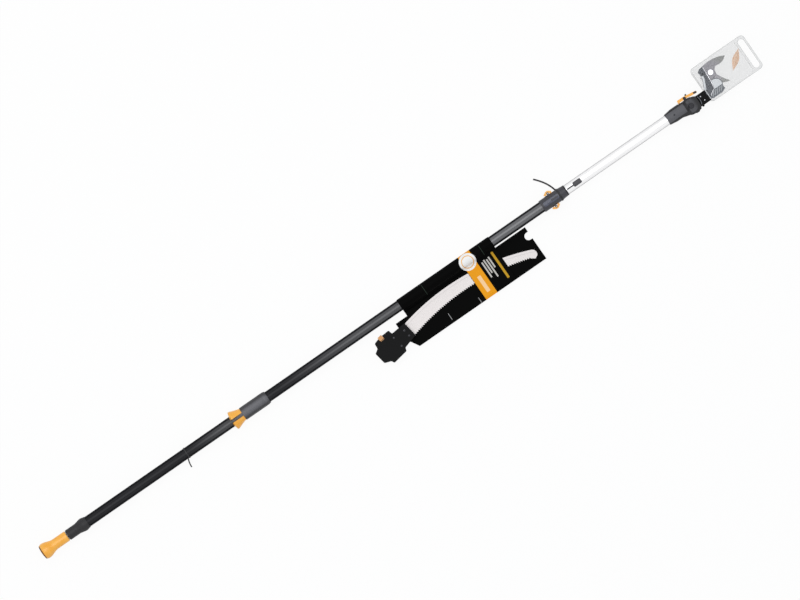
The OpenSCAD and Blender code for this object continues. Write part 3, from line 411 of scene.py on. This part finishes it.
x, y, z = three_ways(tree, place)
barrel = both_of(tree, ramp(tree, maths(tree, "ABSOLUTE", y), *barrel_side),
                 ramp(tree, x, *barrel_end))
cheek = both_of(tree, ramp(tree, from_upright(tree, place, tilt_x, tilt_y), *cheek_rim),
                ramp(tree, x, *cheek_back))
colour = overprint(tree, barrel, "#5c5c60", colour)
# Painted highlight on the cheek round the tilt bolt.
overprint(tree, both_of(tree, cheek, ramp(tree, x, *cheek_front)), "#4b4b4f", colour)
dark_steel, *_ = finish("black-oxide steel", "#232326", "#36363a", 0.8, bump=0.006,
                        rough=(0.32, 0.45), Metallic=0.9)
dress(socket_grey, "head_socket")
dress(dark_steel, "socket_rivets", "tilt_bolt", "lever_pin")
dress(zinc, "tilt_nut")
dress(nylon, "lever_stud")
dress(acetal, "guide_roller")


def lobed_head(name, x, y, foot, radius, rise, material, body):
    """The domed rim of a screw's head with a six-lobed recess, standing on the head's flat top."""
    lobes, lobe_depth = 6, 0.16
    crown_share, recess_share, recess_depth = 0.86, 0.3, 0.8
    mesh = bmesh.new()
    bmesh.ops.create_cone(mesh, cap_ends=True, segments=36, radius1=radius / 1000,
                          radius2=crown_share * radius / 1000, depth=rise / 1000)
    crown = max(mesh.faces, key=lambda f: f.calc_center_median().z)
    bmesh.ops.inset_region(mesh, faces=[crown], thickness=recess_share * radius / 1000)
    for vert in crown.verts:
        lobe = 1 + lobe_depth * math.cos(lobes * math.atan2(vert.co.y, vert.co.x))
        vert.co.x *= lobe
        vert.co.y *= lobe
    well = bmesh.ops.extrude_discrete_faces(mesh, faces=[crown])["faces"][0]
    bmesh.ops.translate(mesh, vec=(0, 0, -recess_depth * rise / 1000), verts=well.verts)
    bmesh.ops.translate(mesh, vec=on_pole(x, y, foot + rise / 2), verts=mesh.verts)
    return finished(name, mesh, material, body, 25)


bolt_top = from_axis(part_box("tilt_bolt"))[1].z
lobed_head("tilt_bolt_head", tilt_x, tilt_y, bolt_top, 7.9, 0.9, dark_steel, "inner_pole")


def raised(mesh, height, edge):
    """Thickens flat faces upwards by a height in mm and rounds what becomes the top edge."""
    grown = bmesh.ops.extrude_face_region(mesh, geom=mesh.faces[:], use_keep_orig=True)["geom"]
    top = [part for part in grown if isinstance(part, bmesh.types.BMVert)]
    bmesh.ops.translate(mesh, vec=(0, 0, height / 1000), verts=top)
    level = max(vert.co.z for vert in mesh.verts) - hair
    sharp = 1.0  # radians
    rim = [e for e in mesh.edges
           if all(v.co.z > level for v in e.verts) and e.calc_face_angle(0) > sharp]
    bmesh.ops.bevel(mesh, geom=rim, offset=edge / 1000, segments=2, affect="EDGES", profile=0.5,
                    material=-1)


def ribbon(name, line, width, level, height, material, body):
    """A low rib of even width along a line of places in mm, standing on a level above the axis."""
    mesh = bmesh.new()
    line = [Vector(spot) for spot in line]
    across = []
    for i, spot in enumerate(line):
        ahead = (line[min(i + 1, len(line) - 1)] - line[max(i - 1, 0)]).normalized() * width / 2
        across.append([mesh.verts.new(on_pole(spot.x - k * ahead.y, spot.y + k * ahead.x, level))
                       for k in (1, -1)])
    for (a, b), (c, d) in zip(across, across[1:]):
        mesh.faces.new((a, b, d, c))
    raised(mesh, height, 0.2)
    return finished(name, mesh, material, body)


# The lever's tip is dipped in black rubber.
lever_top = from_axis(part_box("tilt_lever"))[1].z
lever_tip = [(2275, 20.6), (2285.2, 19.3)]
ribbon("tilt_lever_tip", lever_tip, 5.6, lever_top - 0.3, 0.7, nylon, "tilt_lever")

# ---- Straps ----
# Woven polyester webbing 10 mm wide. One strap pulls from the crosshead to the guide roller, the
# other is wound on the drum. The weave is drawn as ribs 1.6 mm apart.

webbing, tree, place, colour = finish("navy polyester webbing", "#27324f", "#3b4a72", 0.5,
                                      bump=0.05, rough=(0.7, 0.85), Sheen_Weight=0.2)
rib_scale = 1 / 5.2
rib_strength = 0.35
ribs = {"Vector": place, "Scale": rib_scale, "Distortion": 0.4}
weave = add(tree, "ShaderNodeTexWave", ribs, bands_direction="Z").outputs["Fac"]
overprint(tree, maths(tree, "MULTIPLY", weave, rib_strength), "#5d6c95", colour)
dress(webbing, "drive_strap", "head_strap")

# ---- Cutter head frame ----
# A matt black nylon neck turns on the tilt bolt. A blackened steel back plate and a dark cover
# plate hold the gear between them, and a moulded housing covers the strap drum; the tops of its
# ribs are painted paler as a highlight.

matt_black, *_ = finish("matt black nylon", "#0a0a0b", "#151516", 1.2, bump=0.06,
                        rough=(0.55, 0.7), Specular_IOR_Level=0.1)
coated_plate, *_ = finish("blackened sheet steel", "#34363c", "#4b4e55", 2.2, (0.3, 1, 1),
                          bump=0.01, rough=(0.3, 0.42), Metallic=0.5)
housing, tree, place, colour = finish("slate-grey nylon", "#595d64", "#767a82", 1.3, bump=0.05,
                                      rough=(0.42, 0.55))
polished, *_ = finish("polished steel", "#dcdce2", "#ececf0", 3, bump=0.002, rough=(0.08, 0.16),
                      Metallic=1.0)
clear_cap, *_ = finish("frosted polycarbonate", "#e3e6e9", "#f3f5f7", 8, bump=0.01,
                       rough=(0.2, 0.3))
# Painted highlight: whatever of the housing stands above this level is paler.
highlight_level = from_axis(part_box("drum_cap"))[0].z + 0.5
x, y, z = three_ways(tree, place)
overprint(tree, maths(tree, "GREATER_THAN", z, highlight_level), "#b7bbbe", colour)
dress(matt_black, "neck")
dress(coated_plate, "back_plate", "cover_plate")
dress(housing, "drum_cover")
dress(clear_cap, "drum_cap")

neck_rivets, rivet_foot = ((2287, 1), (2292, -14)), 9.1
for i, (x, y) in enumerate(neck_rivets):
    lobed_head(f"neck_rivet_{i + 1}", x, y, rivet_foot, 1.9, 0.7, zinc, "cutter_head")

# Painted highlight: a pale rib along the cheek's front edge round the tilt bolt stands in for the
# light that edge catches.
highlight_arc_r = 31.4
turns = [math.radians(degrees) for degrees in range(-27, 22, 6)]
highlight_arc = [(tilt_x + highlight_arc_r * math.cos(a), tilt_y + highlight_arc_r * math.sin(a)) for a in turns]
ribbon("neck_edge_highlight", highlight_arc, 1.7, 7.8, 0.35, housing, "cutter_head")

plate_top = from_axis(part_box("cover_plate"))[1].z
# Painted highlight: polished strips along the cover plate's front and lower edges stand in for the
# light those edges catch.
front_edge = [(2339.6, 66), (2336.1, 17.3), (2332.2, -1)]
low_edge = [(2331.2, -2.4), (2314, -14)]
pale_margin = [(2324.4, 46), (2321.6, 34), (2315.8, 22), (2309.6, 8)]
for name, line, width, height, material in (
        ("cover_edge_front", front_edge, 1.3, 0.35, polished),
        ("cover_edge_low", low_edge, 1.3, 0.35, polished),
        ("cover_margin", pale_margin, 5.6, 0.25, clear_cap)):
    ribbon(name, line, width, plate_top, height, material, "cutter_head")

# ---- Drum, blades and pivot ----
# The drum and its pinion are sintered steel. The hooked jaw and the blade are stamped from
# spring steel, ground, and coated grey against sap, more thinly at the tips. The pivot bolt is
# polished.

pivot_x, pivot_y = 2350, 41.3
tips_from, tips_to = 26, 46
sintered, *_ = finish("bright sintered steel", "#a6a8ad", "#c8cacf", 0.5, bump=0.01,
                      rough=(0.32, 0.46), Metallic=1.0)
for name, low, high, tip, metal, node in (
        ("grey low-friction coating", "#817f84", "#9f9ca1", "#868783", 0.55, "cutter_blade"),
        ("grey hard coating", "#767479", "#908d93", "#7c7d79", 0.5, "hook_jaw")):
    coating, tree, place, colour = finish(name, low, high, 1.4, (0.12, 1, 1), bump=0.008,
                                          rough=(0.27, 0.4), Metallic=metal)
    reach = from_upright(tree, place, pivot_x, pivot_y)
    overprint(tree, ramp(tree, reach, tips_from, tips_to, 0, 0.8), tip, colour)
    dress(coating, node)
dress(sintered, "drum")
dress(polished, "pivot_bolt")
dress(zinc, "pivot_spacer", "return_spring")
dress(dark_steel, "head_screws")
screw_tops = ((2308, -17.5, 10.5), (2308, 4.5, 16.3), (2329, 49.3, 16.3))
for i, (x, y, top) in enumerate(screw_tops):
    lobed_head(f"head_screw_rim_{i + 1}", x, y, top, 3.7, 0.5, dark_steel, "cutter_head")

# ---- Clear clamshell ----
# Two halves vacuum-formed from clear PET sheet and welded round the rim. Each face of the sheet
# takes away about a tenth of the light, and rolled beads stiffen the rim and the hang slot.

pet, tree, place, _ = finish("clear PET sheet", "#9fa2a4", "#abadb0", 14, bump=0.1,
                             rough=(0.1, 0.16), IOR=1.57)
pet_rim, *_ = finish("clear PET where it is folded", "#8a8d8f", "#989b9d", 9, bump=0.05,
                     rough=(0.12, 0.18), Alpha=0.09, IOR=1.57)
flange_from, flange_to = 0.9, 1.5
flange_alpha, face_alpha = 0.12, 0.08
x, y, z = three_ways(tree, place)
sheet = ramp(tree, maths(tree, "ABSOLUTE", z), flange_from, flange_to, flange_alpha, face_alpha)
tree.links.new(sheet, tree.nodes["Principled BSDF"].inputs["Alpha"])
dress(pet, "clamshell_front", "clamshell_back")
shell_low, shell_high = from_axis(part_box("clamshell_front"))
bead_foot = shell_low.z + 0.8


def bead(name, low, high, corner, width, height):
    """A rolled bead of clear sheet round a rectangle with round corners, from two of its corners
    in mm along and across."""
    mesh = bmesh.new()
    bmesh.ops.create_grid(mesh, x_segments=1, y_segments=1, size=0.5)
    low, high = on_pole(*low, bead_foot), on_pole(*high, bead_foot)
    stretch = Matrix.Diagonal((high.x - low.x, high.y - low.y, 1, 1))
    spot = Matrix.Translation((low + high) / 2) @ stretch
    bmesh.ops.transform(mesh, matrix=spot, verts=mesh.verts)
    bmesh.ops.bevel(mesh, geom=mesh.verts[:], offset=corner / 1000, segments=8, affect="VERTICES",
                    profile=0.5, material=-1)
    middle = mesh.faces[:]
    bmesh.ops.inset_region(mesh, faces=middle, thickness=width / 1000, use_boundary=True,
                           use_even_offset=True)
    bmesh.ops.delete(mesh, geom=middle, context="FACES_ONLY")
    raised(mesh, height, 0.3)
    return finished(name, mesh, pet_rim, "cutter_head", 60)


bead("clamshell_rim_bead", (shell_low.x + 0.3, shell_low.y + 0.3),
     (shell_high.x - 0.3, shell_high.y - 0.3), 12.7, 2.2, 0.9)
bead("clamshell_slot_bead", (shell_high.x - 27.2, shell_low.y + 5.8),
     (shell_high.x - 4.8, shell_high.y - 7.8), 11, 1.9, 0.7)
# Painted highlight: the fold of clear sheet at the neck is a pale opaque bead that stands in for
# the light the fold catches.
neck_foot = plate_top + 1.7
block("clamshell_neck_bead", (2307.2, -22, neck_foot), (2309, 17, neck_foot + 1.2), 0.3, clear_cap,
      "cutter_head")

# A plain orange leaf of printed film is stuck inside the front half, where a shop would print a
# picture. The film lets nearly half of the light through.
leaf_length, leaf_width, leaf_turn = 70, 20, 42
leaf_fullness = 1.6
leaf_place = on_pole(shell_high.x - 58.5, shell_low.y + 62.1, shell_high.z - 0.98)
film, *_ = finish("orange printed film", "#f9bf8c", "#fccfa6", 6, bump=0.01, rough=(0.3, 0.4),
                  Alpha=0.55)
leaf = bmesh.new()
bmesh.ops.create_circle(leaf, cap_ends=True, segments=40, radius=0.5)
for vert in leaf.verts:
    vert.co.y *= 1 - (2 * abs(vert.co.x)) ** leaf_fullness
bmesh.ops.scale(leaf, vec=(leaf_length / 1000, leaf_width / 1000, 1), verts=leaf.verts)
turn = Matrix.Rotation(math.radians(leaf_turn), 3, "Z")
bmesh.ops.rotate(leaf, matrix=turn, verts=leaf.verts)
bmesh.ops.translate(leaf, vec=leaf_place, verts=leaf.verts)
raised(leaf, 0.16, 0.02)
finished("clamshell_leaf", leaf, film, "cutter_head", 60)

# ---- Cable ties ----
# Black nylon ties hold the loose parts for the journey home. Their tails are left long.

dress(nylon, "tie_lower", "tie_upper")

# ---- Card sleeve ----
# Coated card printed black, wrapped round the pole and glued to a back panel. One orange band
# runs across it, with plain bars and rules where a shop would print its words, and two lines of
# painted highlight where its fold-lock slits are cut.

card, tree, place, colour = finish("black ink on coated card", "#020202", "#060606", 2.5, bump=0.01,
                                   rough=(0.55, 0.65), Specular_IOR_Level=0.03)
x, y, z = three_ways(tree, place)
front_level = -tube_r - 0.85
front = maths(tree, "GREATER_THAN", z, front_level)

# Each printed area, and each line of painted highlight, runs from x0 to x1 along the pole and y0 to
# y1 across it, in mm.
orange_band = (1456, 1494, -140, 60)
pale_bar = (1470, 1481, -112, -60)
word_bars = ((1503, 1507.5, -84, -33), (1511, 1515.5, -74, -30), (1519, 1523.5, -92, -33),
             (1527, 1531.5, -66, -30))
tan_rule = (1541, 1548, -112, -24)
# Painted highlight: the two thin rules at the fold-lock slits stand in for the light on their cut
# edges.
slit_highlight_rules = ((1325, 1326.5, -20, 13), (1523, 1524.5, -20, 13))
slot_rules = ((1342.5, 1344, -119, -98), (1439.5, 1441, -127, -110))
for ink, areas in (
        ("#f4a424", [orange_band]), ("#ffd6a3", [pale_bar]), ("#c9c6c0", word_bars),
        ("#c79a2c", [tan_rule]), ("#2f3a32", slit_highlight_rules), ("#a9a9a9", slot_rules)):
    for x0, x1, y0, y1 in areas:
        along = maths(tree, "COMPARE", x, (x0 + x1) / 2, (x1 - x0) / 2)
        across = maths(tree, "COMPARE", y, (y0 + y1) / 2, (y1 - y0) / 2)
        inked = both_of(tree, both_of(tree, along, across), front)
        colour = overprint(tree, inked, ink, colour)
dress(card, "card_sleeve")

# ---- Round sticker ----
# White paper on the band where it crosses the pole, with one plain orange ring.

sticker, tree, place, colour = finish("white label paper", "#f1f0ee", "#fbfbfa", 1.0, bump=0.01,
                                      rough=(0.5, 0.6))
ring_r, ring_half = 17.5, 1.2
low, high = from_axis(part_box("round_sticker"))
reach = from_upright(tree, place, (low.x + high.x) / 2, (low.y + high.y) / 2)
overprint(tree, maths(tree, "COMPARE", reach, ring_r, ring_half), "#f2b04a", colour)
dress(sticker, "round_sticker")

# ---- Saw blade ----
# Curved spring steel, taper ground so that its back is thinner than its toothed edge. The wheel
# follows the bow, so its lines do too.

bow_x, bow_y, bow_r = 1384.06, -711.61, 679.06
bevel_depth, bevel_half = 7.5, 0.7
blade_steel, tree, place, colour = finish("ground saw steel", "#bdb8b7", "#d1cdcc", 1.5,
                                          rough=(0.28, 0.4), Metallic=0.35)
depth = maths(tree, "SUBTRACT", bow_r, from_upright(tree, place, bow_x, bow_y))
grinding = {"W": depth, "Scale": 2.2, "Detail": 4.0}
lines = add(tree, "ShaderNodeTexNoise", grinding, noise_dimensions="1D").outputs["Fac"]
ground = maths(tree, "MULTIPLY", ramp(tree, lines, 0.35, 0.7), 0.45)
# Painted shade: a darker line where the taper grind steps, at the real step.
grind_step_shade = maths(tree, "MULTIPLY", maths(tree, "COMPARE", depth, bevel_depth, bevel_half), 0.5)
colour = overprint(tree, ground, "#aea8a8", colour)
overprint(tree, grind_step_shade, "#9c9697", colour)
dress(blade_steel, "saw_blade")

# ---- Saw head ----
# Two black nylon halves screwed together round the blade's tang, with a socket for the pole and
# a sprung tan button that catches in it.

tan_abs, *_ = finish("tan ABS", "#c98842", "#dca05a", 10, bump=0.01, rough=(0.3, 0.4), IOR=1.53)
dress(matt_black, "saw_head_upper", "saw_head_lower")
dress(dark_steel, "saw_screws")
dress(tan_abs, "saw_button")
